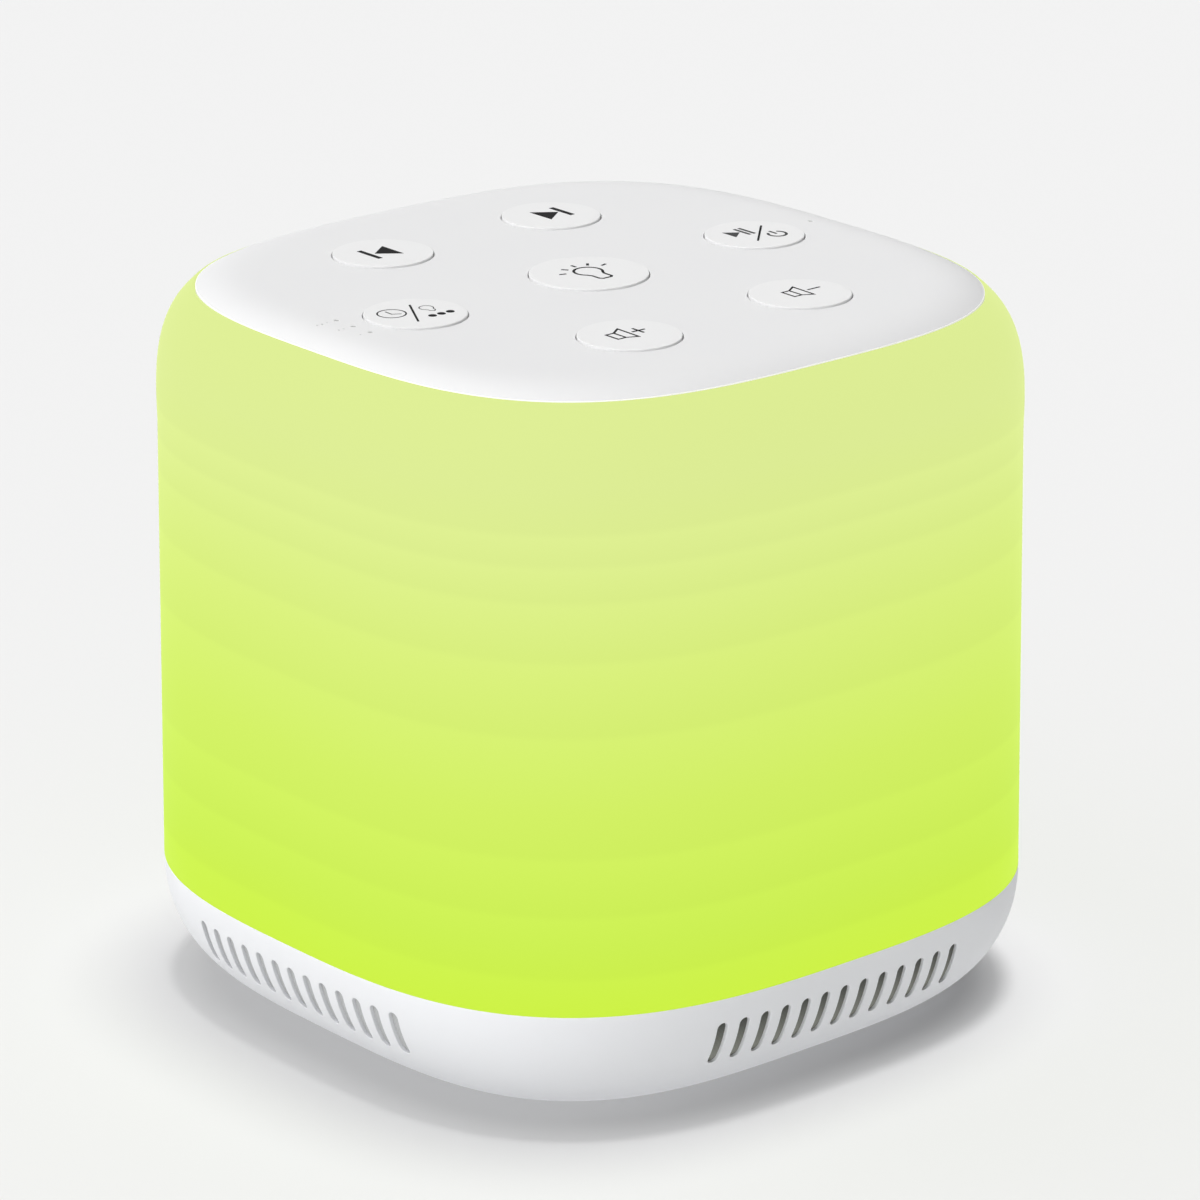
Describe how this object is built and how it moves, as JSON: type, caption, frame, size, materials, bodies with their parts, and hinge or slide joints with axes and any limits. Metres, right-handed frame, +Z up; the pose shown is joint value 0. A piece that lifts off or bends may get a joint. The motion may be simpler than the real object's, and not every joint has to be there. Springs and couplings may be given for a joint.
{
  "type": "white noise sound machine",
  "caption": "Rounded-cube sound machine and night light: slotted white base, glowing translucent shade, white cap with round push keys, speaker and light board inside.",
  "frame": {"origin": "middle of the four feet, on the plane they stand on", "axes": "+Z up, -Y towards the side from which the keys read upright, +X towards the play key"},
  "size_m": [0.1, 0.1, 0.095],
  "materials": {
    "base_white": "satin moulded white",
    "cap_white": "satin moulded white",
    "key_white": "satin moulded white, printed symbols",
    "shade_glow": "translucent milky, lit green from inside",
    "cloth_grey": "thin open-weave acoustic cloth",
    "core_white": "matt white reflector",
    "chassis_grey": "dark grey moulded",
    "foot_rubber": "soft grey",
    "screw_steel": "zinc plated",
    "inlet_metal": "nickel plated",
    "black_plastic": "moulded black",
    "black_foam": "closed-cell foam",
    "frame_steel": "black coated pressed steel",
    "plate_steel": "zinc plated",
    "magnet_ferrite": "sintered ferrite",
    "coil_copper": "enamelled winding on its former",
    "cone_paper": "pressed paper pulp",
    "surround_rubber": "half roll",
    "spider_cloth": "varnished cloth",
    "board_white": "white solder mask",
    "board_green": "green solder mask",
    "emitter_lens": "encapsulated emitters",
    "can_aluminium": "drawn can",
    "connector_ivory": "moulded",
    "ribbon_grey": "flat flexible",
    "pipe_clear": "clear moulded pin",
    "plunger_plastic": "moulded"
  },
  "bodies": {
    "housing": {"base_shell": "base_white", "slot_cloth": "cloth_grey", "bottom_cover": "base_white", "rubber_feet": "foot_rubber", "cover_screws": "screw_steel", "core_screws": "screw_steel", "speaker_screws": "screw_steel", "main_board_screws": "screw_steel", "key_board_screws": "screw_steel", "inlet_screws": "screw_steel", "chassis": "chassis_grey", "inlet_shell": "inlet_metal", "inlet_tongue": "black_plastic", "inlet_board": "board_green", "speaker_gasket": "black_foam", "speaker_frame": "frame_steel", "speaker_top_plate": "plate_steel", "speaker_magnet": "magnet_ferrite", "speaker_yoke": "plate_steel", "speaker_surround": "surround_rubber", "speaker_spider": "spider_cloth", "light_board": "board_white", "light_emitters": "emitter_lens", "light_core": "core_white", "main_board": "board_green", "sound_chips": "black_plastic", "capacitors": "can_aluminium", "ribbon_connectors": "connector_ivory", "ribbon_cable": "ribbon_grey", "key_board": "board_green", "key_switches": "black_plastic", "light_pipes": "pipe_clear", "indicator_chips": "emitter_lens", "shade": "shade_glow", "top_cap": "cap_white"},
    "body_play": {"key_play": "key_white", "plunger_play": "plunger_plastic"},
    "body_next": {"key_next": "key_white", "plunger_next": "plunger_plastic"},
    "body_previous": {"key_previous": "key_white", "plunger_previous": "plunger_plastic"},
    "body_timer": {"key_timer": "key_white", "plunger_timer": "plunger_plastic"},
    "body_louder": {"key_louder": "key_white", "plunger_louder": "plunger_plastic"},
    "body_softer": {"key_softer": "key_white", "plunger_softer": "plunger_plastic"},
    "body_light": {"key_light": "key_white", "plunger_light": "plunger_plastic"},
    "cone": {"speaker_cone": "cone_paper", "speaker_dust_cap": "cone_paper", "voice_coil": "coil_copper"}
  },
  "joints": [
    {"name": "press_play", "type": "slide", "parent": "housing", "child": "body_play", "axis": [0, 0, -1], "range_m": [0, 0.0005], "stiffness_N_per_m": 3000},
    {"name": "press_next", "type": "slide", "parent": "housing", "child": "body_next", "axis": [0, 0, -1], "range_m": [0, 0.0005], "stiffness_N_per_m": 3000},
    {"name": "press_previous", "type": "slide", "parent": "housing", "child": "body_previous", "axis": [0, 0, -1], "range_m": [0, 0.0005], "stiffness_N_per_m": 3000},
    {"name": "press_timer", "type": "slide", "parent": "housing", "child": "body_timer", "axis": [0, 0, -1], "range_m": [0, 0.0005], "stiffness_N_per_m": 3000},
    {"name": "press_louder", "type": "slide", "parent": "housing", "child": "body_louder", "axis": [0, 0, -1], "range_m": [0, 0.0005], "stiffness_N_per_m": 3000},
    {"name": "press_softer", "type": "slide", "parent": "housing", "child": "body_softer", "axis": [0, 0, -1], "range_m": [0, 0.0005], "stiffness_N_per_m": 3000},
    {"name": "press_light", "type": "slide", "parent": "housing", "child": "body_light", "axis": [0, 0, -1], "range_m": [0, 0.0005], "stiffness_N_per_m": 3000},
    {"name": "cone_stroke", "type": "slide", "parent": "housing", "child": "cone", "axis": [0, 0, 1], "range_m": [-0.0008, 0.0008], "stiffness_N_per_m": 1500, "deforming": ["speaker_surround", "speaker_spider"]}
  ]
}
